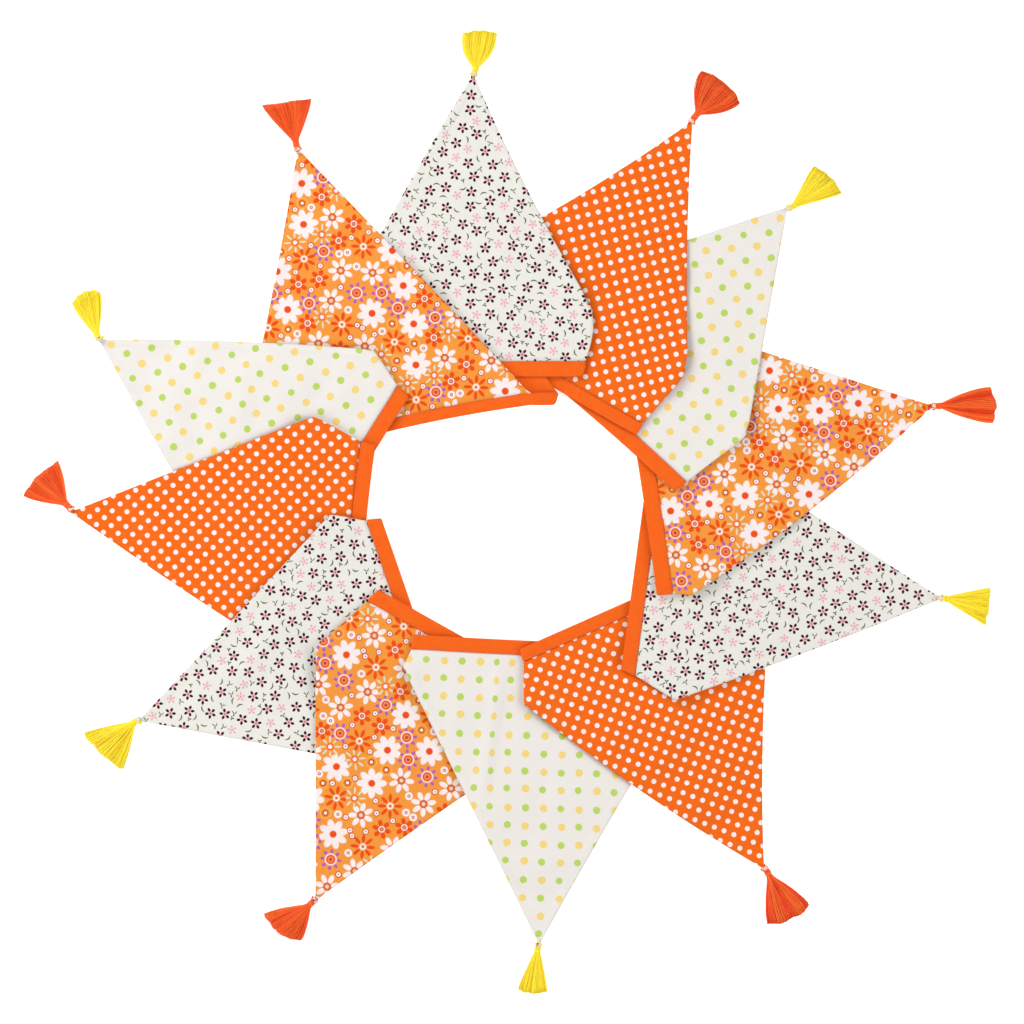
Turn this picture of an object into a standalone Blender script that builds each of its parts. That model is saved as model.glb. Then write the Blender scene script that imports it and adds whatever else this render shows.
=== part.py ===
"""Fabric bunting laid out flat in a ring.

Twelve cotton pennants hang from one long bias-tape binding, and each pennant has a tassel on its
tip. The bunting lies on a flat surface with the binding towards the middle. Each pennant lies over
the next one clockwise, its clockwise corner is folded under, and the binding runs back beneath it
to the next pennant. Metres, +Z up, the origin on the surface under the middle of the whole ring.
"""

import math
from collections import namedtuple

import bpy
from mathutils import Vector

MM = 0.001

# Cloth and tape
CLOTH_THICKNESS = 1.0 * MM
SEAM_GAP = 0.5 * MM          # between a pennant's edge and the binding beside it
TIP_WIDTH = 3.2 * MM         # a pennant's blunt tip, where the tassel is tied on
TAIL_HIDDEN = 30.0 * MM      # plain end of the binding beyond the first pennant
TAIL_FOLDED = 44.0 * MM      # plain end that is folded back beyond the last pennant
JOIN_UNDER = 5               # the two strips of the binding meet under this pennant, from 0
JOIN_GAP = 0.4 * MM

# How the layers lie on each other
LAYER_STEP = 2.95 * MM       # rise from one pennant to the one that lies over it
OUTER_STEP = 1.56 * MM       # the same where only the pennants' sides cross
STEP_ENDS = 265.0            # the full rise is kept to this distance from the ring's middle
OUTER_ENDS = 340.0           # the outer rise is reached here
FLAT_FROM = 385.0            # from here out every pennant lies flat on the surface
LOWEST_TURN = 2.3            # places that the lowest hidden corner lies behind its own pennant's
STAIR_BREAK = 6.4            # places behind its own where a pennant's stair would start again
FOLD_INSET = LAYER_STEP / 4 + CLOTH_THICKNESS / 2     # from a crease in to the axis of its bend

# The photograph is taken straight from above. These places are pixels in its 1024 x 1024 frame.
PHOTO_SCALE = 0.66 * MM
PHOTO_MIDDLE = Vector((509.6, 512.0))
RING_MIDDLE = Vector((507.0, 517.0))

# One row for each pennant, clockwise from the top one:
#   tip          the blunt tip, at the tassel's knot
#   corner       the hidden corner at the binding, anticlockwise
#   fold         where the clockwise fold meets the binding's edge
#   shoulder     where that fold meets the pennant's clockwise side (the fold again: no fold)
#   side, back   how far the clockwise and the anticlockwise side bow outwards
#   base         how far the binding's edge bows towards the tip
#   tape         the binding's width as it lies beside the pennant
#   tucked       how much of the binding's edge is folded under
#   cloth        which printed cotton the pennant is cut from
Pennant = namedtuple("Pennant", "tip corner fold shoulder side back base tape tucked cloth")
PENNANTS = [
    Pennant((473, 79), (314, 361), (586, 361), (592, 305), -4, 3, 0, 15.0, 38, "sprig"),
    Pennant((690, 125), (413, 285), (643, 424), (689, 370), -3, -7, -2, 12.5, 50, "spot"),
    Pennant((786, 210), (490, 315), (687, 482), (748, 434), 0, 3, 4, 15.0, 52, "dot"),
    Pennant((929, 407), (628, 309), (673, 594), (694, 595), 6, 0, 2, 15.5, 20, "daisy"),
    Pennant((938, 598), (670, 416), (635, 676), (677, 700), 2, -2, 0, 14.0, 47, "sprig"),
    Pennant((761, 864), (775, 551), (523, 662), (525, 706), 5, -6, 0, 12.5, 34, "spot"),
    Pennant((539, 941), (705, 661), (411, 649), (403, 669), 0, -2, 2, 14.2, 16, "dot"),
    Pennant((317, 897), (577, 719), (367, 601), (315, 649), 0, -2, 0, 15.0, 62, "daisy"),
    Pennant((143, 719), (455, 779), (366, 520), (329, 515), 0, 0, 0, 14.5, 38, "sprig"),
    Pennant((78, 515), (344, 691), (361, 441), (312, 416), 0, 3, 5, 14.3, 58, "spot"),
    Pennant((102, 341), (257, 613), (398, 385), (372, 349), 3, 2, 1, 15.0, 42, "dot"),
    Pennant((299, 153), (236, 464), (529, 393), (529, 393), 1, -3, 8, 11.5, 0, "daisy"),
]
END_TAPE = 12.3              # width of the binding's bare end, beyond the last pennant
END_FOLD = (557, 392.5)      # where that end turns back
END_LEAN = math.radians(-17.0)

# One row for each tassel, in the same order: the knot on the pennant's tip, the left and the right
# corner of the spread end, and how far that end bulges.
Tassel = namedtuple("Tassel", "knot left right bulge")
TASSELS = [
    Tassel((475, 73), (463, 33), (497, 33), 3),
    Tassel((692, 120), (702, 70), (741, 102), 5),
    Tassel((791, 208), (814, 166), (842, 193), 4),
    Tassel((935, 406), (990, 387), (993, 423), 5),
    Tassel((943, 598), (991, 588), (986, 625), 1),
    Tassel((766, 869), (810, 906), (768, 925), 5),
    Tassel((538, 946), (547, 992), (518, 990), 3),
    Tassel((314, 901), (300, 941), (264, 914), 7),
    Tassel((137, 720), (122, 770), (83, 734), 3),
    Tassel((70, 508), (23, 495), (58, 461), 4),
    Tassel((98, 338), (72, 303), (100, 291), 6),
    Tassel((297, 148), (262, 105), (311, 98), 0),
]
KNOT_LENGTH = 6.4 * MM
KNOT_WIDTH = 5.6 * MM
KNOT_HEIGHT = 4.6 * MM
NECK_WIDTH = 3.6 * MM
NECK_HEIGHT = 3.0 * MM
SKIRT_LENGTH = 8.0 * MM      # from the knot to where the strands part
SKIRT_SHARE = 0.36           # the skirt's width, as a share of the spread end's
SKIRT_WIDEST = 9.0 * MM
STRAND_CELLS = 7             # side by side; each cell gives an upper and a lower strand
STRAND_HEIGHT = 2.4 * MM     # of an upper and a lower strand together
STRAND_SHARE = 0.4           # half a strand's width, as a share of the room it has
STRAND_FLARE = 0.12          # how far the fan spreads beyond straight, half-way out
STRAND_WAIST = 0.72          # a strand's size where it leaves the skirt, as a share of its root
STRAND_START = 0.1 * MM      # from the skirt's end to that waist
STRAND_NEST = 0.2            # how deep an upper strand sits among the lower ones, of its height
STRAND_RISES = ((0.5, 0.7), (1.0, 0.6))     # how high the strands rise, half-way out and at the end

# Sections through a tassel's head: how far along it, how far turned from the line of the pennant's
# tip to the line of the strands, the width and height, and how round it is.
Section = namedtuple("Section", "along turned width height roundness")
HEAD = [
    Section(-0.5 * KNOT_LENGTH, 0.0, 0.5 * KNOT_WIDTH, 0.6 * KNOT_HEIGHT, 0.6),
    Section(-0.2 * KNOT_LENGTH, 0.0, KNOT_WIDTH, KNOT_HEIGHT, 0.7),
    Section(0.2 * KNOT_LENGTH, 0.5, KNOT_WIDTH, KNOT_HEIGHT, 0.7),
    Section(0.5 * KNOT_LENGTH, 1.0, NECK_WIDTH, NECK_HEIGHT, 0.5),
]
SECTION_REACH = 0.97         # how far round a section's arc runs before its side closes it

# Mesh steps
ROWS_TO_SHOULDER = 3
ROWS_TO_TIP = 8
COLUMNS = 6
BEND_STEPS = 3
TAPE_STEPS = 9
UNDER_STEPS = 5

COLOURS = {
    "sprig": (0.86, 0.83, 0.79),
    "spot": (0.93, 0.20, 0.02),
    "dot": (0.90, 0.90, 0.82),
    "daisy": (0.93, 0.38, 0.05),
    "binding": (0.90, 0.15, 0.02),
    "yellow strands": (0.93, 0.76, 0.02),
    "orange strands": (0.88, 0.12, 0.01),
}
COTTON_ROUGHNESS = 0.85
TAPE_ROUGHNESS = 0.8
STRAND_ROUGHNESS = 0.5


def material(name, colour, roughness):
    """A plain Principled material."""
    made = bpy.data.materials.new(name)
    made.use_nodes = True
    shader = made.node_tree.nodes["Principled BSDF"]
    shader.inputs["Base Color"].default_value = (*colour, 1.0)
    shader.inputs["Roughness"].default_value = roughness
    shader.inputs["Metallic"].default_value = 0.0
    return made


def place(pixel):
    """The point on the surface, in metres, that a pixel of the photograph shows."""
    x, y = Vector(pixel) - PHOTO_MIDDLE
    return Vector((x, -y)) * PHOTO_SCALE


def layer_step(distance):
    """Rise from one pennant to the next, at a distance in pixels from the ring's middle."""
    def ease(start, end):
        share = min(max((distance - start) / (end - start), 0.0), 1.0)
        return share * share * (3.0 - 2.0 * share)

    step = LAYER_STEP + (OUTER_STEP - LAYER_STEP) * ease(STEP_ENDS, OUTER_ENDS)
    return step * (1.0 - ease(OUTER_ENDS, FLAT_FROM))


def underside(point, index, folded_under=0.0):
    """Height of a pennant's underside: the layers climb clockwise like a spiral stair.

    The ring has a place for each pennant, and a pennant climbs a step from one place to the next.
    What is folded under lies half a step below its own pennant.
    """
    offset = (point - place(RING_MIDDLE)) / PHOTO_SCALE
    places = len(PENNANTS)
    turn = math.atan2(offset.x, offset.y) / math.tau * places
    passed = (turn - index + STAIR_BREAK) % places - STAIR_BREAK
    return layer_step(offset.length) * (passed + LOWEST_TURN - 0.5 * folded_under)


def raised(point, index, folded_under=0.0):
    """A plan point lifted to the middle of its layer's thickness."""
    height = underside(point, index, folded_under) + CLOTH_THICKNESS / 2
    return Vector((point.x, point.y, height))


def beside(direction):
    """Unit vector to the left of a plan direction, seen from above."""
    return Vector((-direction.y, direction.x)).normalized()


def bowed(start, end, bow, steps):
    """Points from start to end on a flat arc that bows to its left."""
    run = end - start
    left = beside(run)
    shares = [step / steps for step in range(steps + 1)]
    return [start + run * share + left * bow * 4.0 * share * (1.0 - share) for share in shares]


def bend(top, bottom, outward, outer_side_up):
    """Points and normals round a fold, from its upper layer to its lower one."""
    middle = (top + bottom) / 2
    radius = (top - bottom).z / 2
    way = Vector((outward.x, outward.y, 0.0))
    side = 1.0 if outer_side_up else -1.0
    points, normals = [], []
    for step in range(BEND_STEPS + 1):
        angle = math.pi * step / BEND_STEPS
        spoke = way * math.sin(angle) + Vector((0.0, 0.0, math.cos(angle)))
        points.append(middle + spoke * radius)
        normals.append(spoke * side)
    return points, normals


def thick_sheet(name, points, normals, faces, finish):
    """Closes a sheet's middle surface into a solid of the cloth's thickness."""
    half = CLOTH_THICKNESS / 2
    count = len(points)
    corners = [point + normal * half for point, normal in zip(points, normals)]
    corners += [point - normal * half for point, normal in zip(points, normals)]
    shell = [tuple(face) for face in faces]
    shell += [tuple(corner + count for corner in reversed(face)) for face in faces]
    edges = [(face[n - 1], face[n]) for face in faces for n in range(len(face))]
    open_edges = sorted(set(edges) - {(b, a) for a, b in edges})
    shell += [(b, a, a + count, b + count) for a, b in open_edges]
    return solid(name, corners, shell, finish)


def solid(name, corners, faces, finish):
    """A new object from corners and faces, with its material."""
    mesh = bpy.data.meshes.new(name)
    mesh.from_pydata([tuple(corner) for corner in corners], [], faces)
    mesh.materials.append(finish)
    mesh.shade_smooth()
    mesh.set_sharp_from_angle(angle=math.radians(40.0))
    made = bpy.data.objects.new(name, mesh)
    bpy.context.collection.objects.link(made)
    return made


def base_edge(row, steps):
    """The pennant's edge along the binding, from its hidden corner to its fold."""
    return bowed(place(row.corner), place(row.fold), row.base * PHOTO_SCALE, steps)


def under_direction(index):
    """Plan direction in which the binding runs back under a pennant, to the next one's corner."""
    following = PENNANTS[(index + 1) % len(PENNANTS)]
    return (place(following.corner) - place(PENNANTS[index].fold)).normalized()


def knot_direction(index):
    """Plan direction from a pennant's tip to its tassel's knot."""
    return (place(TASSELS[index].knot) - place(PENNANTS[index].tip)).normalized()


def tip_ends(index):
    """The anticlockwise and the clockwise end of a pennant's blunt tip, just short of the knot."""
    outward = knot_direction(index)
    tip = place(TASSELS[index].knot) - outward * (KNOT_LENGTH / 2 + SEAM_GAP)
    across = beside(outward) * TIP_WIDTH / 2
    return tip + across, tip - across


def pennant(index, finish):
    """One pennant: the triangle of cloth, and its clockwise corner folded under."""
    row = PENNANTS[index]
    back_tip, side_tip = tip_ends(index)
    corner, fold, shoulder = place(row.corner), place(row.fold), place(row.shoulder)
    folded = shoulder != fold
    fold_rows = ROWS_TO_SHOULDER if folded else 0

    outwards = beside(fold - corner)
    share = (shoulder - fold).dot(outwards) / (side_tip - fold).dot(outwards)
    shares = [share * n / max(fold_rows, 1) for n in range(fold_rows)]
    shares += [share + (1.0 - share) * n / ROWS_TO_TIP for n in range(ROWS_TO_TIP + 1)]

    crease = bowed(fold, shoulder, 0.0, max(fold_rows, 1))
    outward = beside(fold - shoulder) if folded else None
    if folded:
        crease = [point - outward * FOLD_INSET for point in crease]
    free_side = bowed(crease[-1], side_tip, -row.side * PHOTO_SCALE, ROWS_TO_TIP)
    right_side = crease[:-1] + free_side if folded else free_side

    base = bowed(corner, right_side[0], row.base * PHOTO_SCALE, COLUMNS)
    straight = bowed(corner, right_side[0], 0.0, COLUMNS)
    points, normals, faces = [], [], []
    up = Vector((0.0, 0.0, 1.0))
    for share_up, right in zip(shares, right_side):
        left = corner.lerp(back_tip, share_up)
        left += beside(back_tip - corner) * row.back * PHOTO_SCALE * 4.0 * share_up * (1.0 - share_up)
        for column in range(COLUMNS + 1):
            point = left.lerp(right, column / COLUMNS)
            point += (base[column] - straight[column]) * (1.0 - share_up) ** 2
            points.append(raised(point, index))
            normals.append(up)
    wide = COLUMNS + 1
    for n in range(len(right_side) - 1):
        for column in range(COLUMNS):
            first = n * wide + column
            faces.append((first, first + 1, first + wide + 1, first + wide))

    if folded:
        rings = []
        for n, point in enumerate(crease):
            upper, lower = raised(point, index), raised(point, index, 1.0)
            ring_points, ring_normals = bend(upper, lower, outward, True)
            first = len(points)
            rings.append([n * wide + COLUMNS] + [first + step for step in range(BEND_STEPS)])
            points += ring_points[1:]
            normals += ring_normals[1:]
        for lower, upper in zip(rings, rings[1:]):
            for step in range(BEND_STEPS):
                faces.append((lower[step], lower[step + 1], upper[step + 1], upper[step]))
        end = crease[0] + under_direction(index) * row.tucked * PHOTO_SCALE
        points.append(raised(end, index, 1.0))
        normals.append(-up)
        for lower, upper in zip(rings, rings[1:]):
            faces.append((lower[-1], len(points) - 1, upper[-1]))
    return thick_sheet(f"pennant_{index + 1:02d}", points, normals, faces, finish)


def slanted(outer, along, crossing, width):
    """The strip's inner edge point on a fold line that starts at its outer edge point."""
    return outer - crossing * width / crossing.dot(beside(along))


def binding(finish):
    """The whole bias tape: along each pennant, folded under it and on to the next one.

    It is two strips, end to end, which meet out of sight under the pennant at JOIN_UNDER. Each is
    then half of the ring, an open bend, and not a closed loop.
    """
    stations = []            # outer edge, inner edge and the two normals
    join = None              # how many stations the first strip has

    def flat(outer, inner, index, folded_under):
        normal = Vector((0.0, 0.0, -1.0 if folded_under else 1.0))
        stations.append((raised(outer, index, folded_under), raised(inner, index, folded_under),
                         normal, normal))

    def fold(outer, inner, outward, upper, lower, outer_side_up):
        outer_bend = bend(raised(outer, *upper), raised(outer, *lower), outward, outer_side_up)
        inner_bend = bend(raised(inner, *upper), raised(inner, *lower), outward, outer_side_up)
        for step in range(BEND_STEPS + 1):
            stations.append((outer_bend[0][step], inner_bend[0][step],
                             outer_bend[1][step], inner_bend[1][step]))

    last = len(PENNANTS) - 1
    runs = []
    for row in PENNANTS:
        width = row.tape * PHOTO_SCALE
        edge = base_edge(row, TAPE_STEPS)
        start_way = (edge[1] - edge[0]).normalized()
        end_way = (edge[-1] - edge[-2]).normalized()
        inward = [-beside(edge[min(n + 1, TAPE_STEPS)] - edge[max(n - 1, 0)]) for n in range(len(edge))]
        outer = [point + side * SEAM_GAP for point, side in zip(edge, inward)]
        inner = [point + side * (SEAM_GAP + width) for point, side in zip(edge, inward)]
        outer[-1] -= end_way * (FOLD_INSET if row.tucked else 0.0)
        runs.append((outer, inner, start_way, end_way, width))

    outer, inner, start_way, _, _ = runs[0]
    flat(outer[0] - start_way * TAIL_HIDDEN, inner[0] - start_way * TAIL_HIDDEN, 0, 0.0)
    for index in range(len(PENNANTS)):
        outer, inner, _, end_way, width = runs[index]
        for n in range(0 if index == 0 else 1, TAPE_STEPS):
            flat(outer[n], inner[n], index, 0.0)
        if index < last:
            next_outer, _, next_way, _, next_width = runs[index + 1]
            back = (next_outer[0] - outer[-1]).normalized()
            turn = (end_way - back).normalized()
            near = slanted(outer[-1], end_way, beside(turn), width)
            fold(outer[-1], near, turn, (index, 0.0), (index, 1.0), True)
            far_turn = (back - next_way).normalized()
            far = slanted(next_outer[0], next_way, beside(far_turn), next_width)
            for n in range(1, UNDER_STEPS):
                share = n / UNDER_STEPS
                flat(outer[-1].lerp(next_outer[0], share), near.lerp(far, share), index, 1.0)
                if index == JOIN_UNDER and n == UNDER_STEPS // 2:
                    join = len(stations)
            fold(next_outer[0], far, far_turn, (index, 1.0), (index + 1, 0.0), False)
    outer, inner, _, _, _ = runs[last]
    flat(outer[-1], inner[-1], last, 0.0)
    turned = place(END_FOLD)
    away = (turned - outer[-1]).normalized()
    half_way = outer[-1].lerp(turned, 0.5)
    flat(half_way, half_way - beside(away) * END_TAPE * PHOTO_SCALE, last + 0.5, 0.0)
    lean = Vector((math.cos(END_LEAN), math.sin(END_LEAN)))
    near = slanted(turned, away, beside(lean), END_TAPE * PHOTO_SCALE)
    back = away - 2.0 * away.dot(lean) * lean
    fold(turned, near, lean, (last + 1, 0.0), (last + 1, 1.0), True)
    for share in (0.5, 1.0):
        reach = back * TAIL_FOLDED * share
        flat(turned + reach, near + reach, last + 1, 1.0)

    # The second strip starts a joint's gap beyond the first one's end.
    end, following = stations[join - 1], stations[join]
    share = JOIN_GAP / (following[0] - end[0]).length
    start = tuple(value.lerp(next_value, share) for value, next_value in zip(end, following))
    for number, strip in enumerate((stations[:join], [start] + stations[join:]), start=1):
        points, normals, faces = [], [], []
        for outer_point, inner_point, outer_normal, inner_normal in strip:
            points += [outer_point, inner_point]
            normals += [outer_normal, inner_normal]
        for n in range(len(strip) - 1):
            faces.append((2 * n, 2 * n + 1, 2 * n + 3, 2 * n + 2))
        thick_sheet(f"binding_{number:02d}", points, normals, faces, finish)


def tassel(index, finish):
    """One tassel: a wound knot and neck, and a flat fan of strands that part beyond the neck."""
    row = TASSELS[index]
    knot, left, right = place(row.knot), place(row.left), place(row.right)
    axis = ((left + right) / 2 - knot).normalized()
    knot_axis = knot_direction(index)
    spread = (right - left).length
    cells = STRAND_CELLS

    def section(axis, along, width, height, roundness):
        """A closed ring of points: the bottom from left to right, then the top back again."""
        across = -beside(axis)
        ring = []
        for side, order in ((-1, range(cells + 1)), (1, range(cells, -1, -1))):
            for n in order:
                share = 2.0 * n / cells - 1.0
                arc = math.sqrt(1.0 - (share * SECTION_REACH) ** 2)
                drop = 1.0 - roundness * (1.0 - arc)
                plan = knot + axis * along + across * share * width / 2
                ring.append(Vector((plan.x, plan.y, height / 2 + side * drop * height / 2)))
        return ring

    skirt_width = min(spread * SKIRT_SHARE, SKIRT_WIDEST)
    sections = [section(knot_axis.lerp(axis, cut.turned).normalized(), cut.along, cut.width,
                        cut.height, cut.roundness) for cut in HEAD]
    sections.append(section(axis, SKIRT_LENGTH, skirt_width, STRAND_HEIGHT, 0.0))
    ring_size = 2 * (cells + 1)
    corners = [point for ring in sections for point in ring]
    faces = []
    for n in range(len(sections) - 1):
        for k in range(ring_size):
            a, b = n * ring_size + k, n * ring_size + (k + 1) % ring_size
            faces.append((a, a + ring_size, b + ring_size, b))
    for n in range(cells):
        faces.append((n, n + 1, ring_size - 2 - n, ring_size - 1 - n))

    skirt = (len(sections) - 1) * ring_size
    ends = bowed(left, right, row.bulge * PHOTO_SCALE, 2 * cells - 1)
    spacing = (skirt_width / (2 * cells), spread / (2 * cells))
    for n in range(cells):
        low, low_next = skirt + n, skirt + n + 1
        high, high_next = skirt + ring_size - 1 - n, skirt + ring_size - 2 - n
        for k, root in enumerate(((low, high, low_next), (high, high_next, low_next))):
            strand(corners, faces, root, ends[2 * n + k], axis, spacing, k == 1)
    return solid(f"tassel_{index + 1:02d}", corners, faces, finish)


def strand(corners, faces, root, end, axis, spacing, upper):
    """Adds a three-sided strand that grows from a root triangle and lies level on the surface."""
    middle = sum((corners[corner] for corner in root), Vector()) / 3
    flat_end = Vector((end.x, end.y, middle.z))
    way = (flat_end - middle).normalized()
    side = Vector((-way.y, way.x, 0.0))
    run = (flat_end - middle).xy
    spread_out = run - axis * run.dot(axis)
    rings = [[middle.lerp(corners[corner], STRAND_WAIST) + way * STRAND_START for corner in root]]
    for share, height_share in STRAND_RISES:
        flare = STRAND_FLARE if share < 1.0 else 0.0
        centre = (middle.xy + run * share + spread_out * flare).to_3d()
        half = STRAND_SHARE * (spacing[0] + (spacing[1] - spacing[0]) * share)
        rise = STRAND_HEIGHT * height_share
        if upper:
            shape = ((half, rise), (-half, rise), (0.0, STRAND_NEST * rise))
        else:
            shape = ((half, 0.0), (0.0, (1.0 - STRAND_NEST) * rise), (-half, 0.0))
        rings.append([centre + side * reach + Vector((0.0, 0.0, height)) for reach, height in shape])
    previous = list(root)
    for ring in rings:
        first = len(corners)
        corners += ring
        current = [first, first + 1, first + 2]
        for n in range(3):
            after = (n + 1) % 3
            faces.append((previous[n], previous[after], current[after], current[n]))
        previous = current
    faces.append(tuple(previous))


def build():
    """Empties the scene and makes every piece of the bunting."""
    for old in list(bpy.data.objects):
        bpy.data.objects.remove(old)
    cottons = {name: material(name, COLOURS[name], COTTON_ROUGHNESS)
               for name in ("sprig", "spot", "dot", "daisy")}
    yellow = material("yellow strands", COLOURS["yellow strands"], STRAND_ROUGHNESS)
    orange = material("orange strands", COLOURS["orange strands"], STRAND_ROUGHNESS)
    binding(material("binding", COLOURS["binding"], TAPE_ROUGHNESS))
    for index, row in enumerate(PENNANTS):
        pennant(index, cottons[row.cloth])
        tassel(index, yellow if row.cloth in ("sprig", "dot") else orange)


build()
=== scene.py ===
import math
import random
from collections import namedtuple

import bpy
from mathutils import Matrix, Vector


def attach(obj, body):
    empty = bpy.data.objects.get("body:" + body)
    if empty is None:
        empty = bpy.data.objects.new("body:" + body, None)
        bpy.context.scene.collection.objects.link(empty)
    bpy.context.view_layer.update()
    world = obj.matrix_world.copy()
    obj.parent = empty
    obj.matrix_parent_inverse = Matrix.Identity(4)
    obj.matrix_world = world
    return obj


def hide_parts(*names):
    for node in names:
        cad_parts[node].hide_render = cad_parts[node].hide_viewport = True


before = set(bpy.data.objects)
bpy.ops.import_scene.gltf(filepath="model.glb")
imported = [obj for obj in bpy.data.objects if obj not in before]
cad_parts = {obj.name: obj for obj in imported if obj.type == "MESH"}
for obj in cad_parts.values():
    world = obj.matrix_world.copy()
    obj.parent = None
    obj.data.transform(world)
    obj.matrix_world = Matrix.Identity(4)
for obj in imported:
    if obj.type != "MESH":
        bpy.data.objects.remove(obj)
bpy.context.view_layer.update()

MM = 0.001


# The white table that the bunting is laid out on. It is plain and pale, far larger than the ring,
# and no part of the bunting. Soft boxes light it from above, and the camera looks straight down.
PHOTO_SCALE = 0.66 * MM      # a pixel of the photograph, on the table
PHOTO_SIZE = 1024
PHOTO_MIDDLE = Vector((509.6, 512.0))
LENS = 200.0
SENSOR = 36.0
BRIGHTNESS = 1.33            # how much brighter than its dye a flat surface shows on this table
GLOSS = 0.012                # and what its own faint gloss adds


def place(pixel):
    """The point on the table, in metres, that a pixel of the photograph shows."""
    x, y = Vector(pixel) - PHOTO_MIDDLE
    return Vector((x, -y)) * PHOTO_SCALE


class Dye:
    """A value, vector or colour in a material. Python's own operators add Math nodes to it."""

    def __init__(self, tree, socket):
        self.tree = tree
        self.socket = socket

    def node(self, kind, settings, inputs, output=0):
        """Adds a node: its settings first, then the values or links of its sockets."""
        made = self.tree.nodes.new(kind)
        for name, value in settings.items():
            if name == "stops":
                ramp = made.color_ramp
                ramp.interpolation = settings["blend"]
                while len(ramp.elements) < len(value):
                    ramp.elements.new(1.0)
                for element, (position, colour) in zip(ramp.elements, value):
                    element.position = position
                    element.color = (*colour[:3], 1.0)
            elif name != "blend":
                setattr(made, name, value)
        for name, value in inputs.items():
            if isinstance(value, Dye):
                self.tree.links.new(value.socket, made.inputs[name])
            else:
                made.inputs[name].default_value = value
        return Dye(self.tree, made.outputs[output])

    def math(self, operation, *others):
        return self.node("ShaderNodeMath", {"operation": operation}, dict(enumerate((self, *others))))

    def vector(self, operation, *others, output=0):
        settings = {"operation": operation}
        return self.node("ShaderNodeVectorMath", settings, dict(enumerate((self, *others))), output)

    def __add__(self, other):
        return self.math("ADD", other)

    def __sub__(self, other):
        return self.math("SUBTRACT", other)

    def __rsub__(self, other):
        return self.node("ShaderNodeMath", {"operation": "SUBTRACT"}, {0: other, 1: self})

    def __mul__(self, other):
        return self.math("MULTIPLY", other)

    def __truediv__(self, other):
        return self.math("DIVIDE", other)

    __radd__ = __add__

    def noise(self, scale, detail=2.0):
        return self.node("ShaderNodeTexNoise", {}, {"Vector": self, "Scale": scale, "Detail": detail})

    def parts(self):
        """The three parts of a vector."""
        apart = self.node("ShaderNodeSeparateXYZ", {}, {"Vector": self}).socket.node
        return [Dye(self.tree, output) for output in apart.outputs]

    def within(self, limit, softness):
        """A mask: 1 where the value is under a limit, with a soft edge."""
        return ((limit - self) / softness + 0.5).math("MAXIMUM", 0.0).math("MINIMUM", 1.0)

    def colours(self, low, high):
        """Mixes two colours, with this value as the share of the second."""
        return self.node("ShaderNodeMix", {"data_type": "RGBA"}, {0: self, 6: low, 7: high}, 2)

    def vectors(self, low, high):
        """Mixes two vectors, with this value as the share of the second."""
        return self.node("ShaderNodeMix", {"data_type": "VECTOR"}, {0: self, 4: low, 5: high}, 1)


def paint(code):
    """A colour as a shader takes it, from its web code."""
    shares = [int(code[n:n + 2], 16) / 255.0 for n in (1, 3, 5)]
    linear = [s / 12.92 if s <= 0.04045 else ((s + 0.055) / 1.055) ** 2.4 for s in shares]
    return (*linear, 1.0)


def dyed(code, shaded=1.0):
    """The dye that shows as a colour read from the photograph, under these bright lights."""
    return (*(max(share / (BRIGHTNESS * shaded) - GLOSS, 0.0) for share in paint(code)[:3]), 1.0)


def finish(name, roughness, sheen=0.0, specular=0.3):
    """A new material, with its shader and the node tree that the rest is made from."""
    made = bpy.data.materials.new(name)
    made.use_nodes = True
    tree = made.node_tree
    shader = tree.nodes["Principled BSDF"]
    values = {"Roughness": roughness, "Sheen Weight": sheen, "Specular IOR Level": specular}
    for name, value in values.items():
        shader.inputs[name].default_value = value
    return made, shader, tree


def places_of(tree):
    """Where each point of a piece lies, in the piece's own metres."""
    return Dye(tree, tree.nodes.new("ShaderNodeTexCoord").outputs["Object"])


def lookup(kind, rows):
    """The row of a short table that a kind names, as one node. The kind is from 0 to 1."""
    stops = [(n / len(rows), row) for n, row in enumerate(rows)]
    return kind.node("ShaderNodeValToRGB", {"blend": "CONSTANT", "stops": stops}, {"Fac": kind})


def colour_in(shader, colour):
    shader.id_data.links.new(colour.socket, shader.inputs["Base Color"])


def relief(shader, height, depth, strength=1.0):
    """Bump from a height of 0 to 1, which stands for a depth in metres."""
    settings = {"Strength": strength, "Distance": depth, "Height": height}
    bump = height.node("ShaderNodeBump", {}, settings)
    shader.id_data.links.new(bump.socket, shader.inputs["Normal"])


bpy.ops.object.select_all(action="DESELECT")
bpy.ops.mesh.primitive_plane_add(size=14.0, location=(0.0, 0.0, -0.1 * MM))
table = bpy.context.active_object
table.name = "table"
table_finish, table_shader, tree = finish("white table", 0.9, specular=0.1)
grain = places_of(tree).noise(3.0)
colour_in(table_shader, grain.colours(paint("#f6f6f6"), paint("#fbfbfb")))
# It is a light table, which glows and so shows hardly any shadow.
table_shader.inputs["Emission Color"].default_value = (1.0, 1.0, 1.0, 1.0)
table_shader.inputs["Emission Strength"].default_value = 0.5
table.data.materials.append(table_finish)

middle = place((PHOTO_SIZE / 2, PHOTO_SIZE / 2))
camera_height = PHOTO_SIZE * PHOTO_SCALE * LENS / SENSOR
bpy.ops.object.camera_add(location=(middle.x, middle.y, camera_height), rotation=(0.0, 0.0, 0.0))
camera = bpy.context.active_object
camera.data.lens = LENS
camera.data.sensor_width = SENSOR
camera.data.clip_end = 40.0
bpy.context.scene.camera = camera

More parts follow.
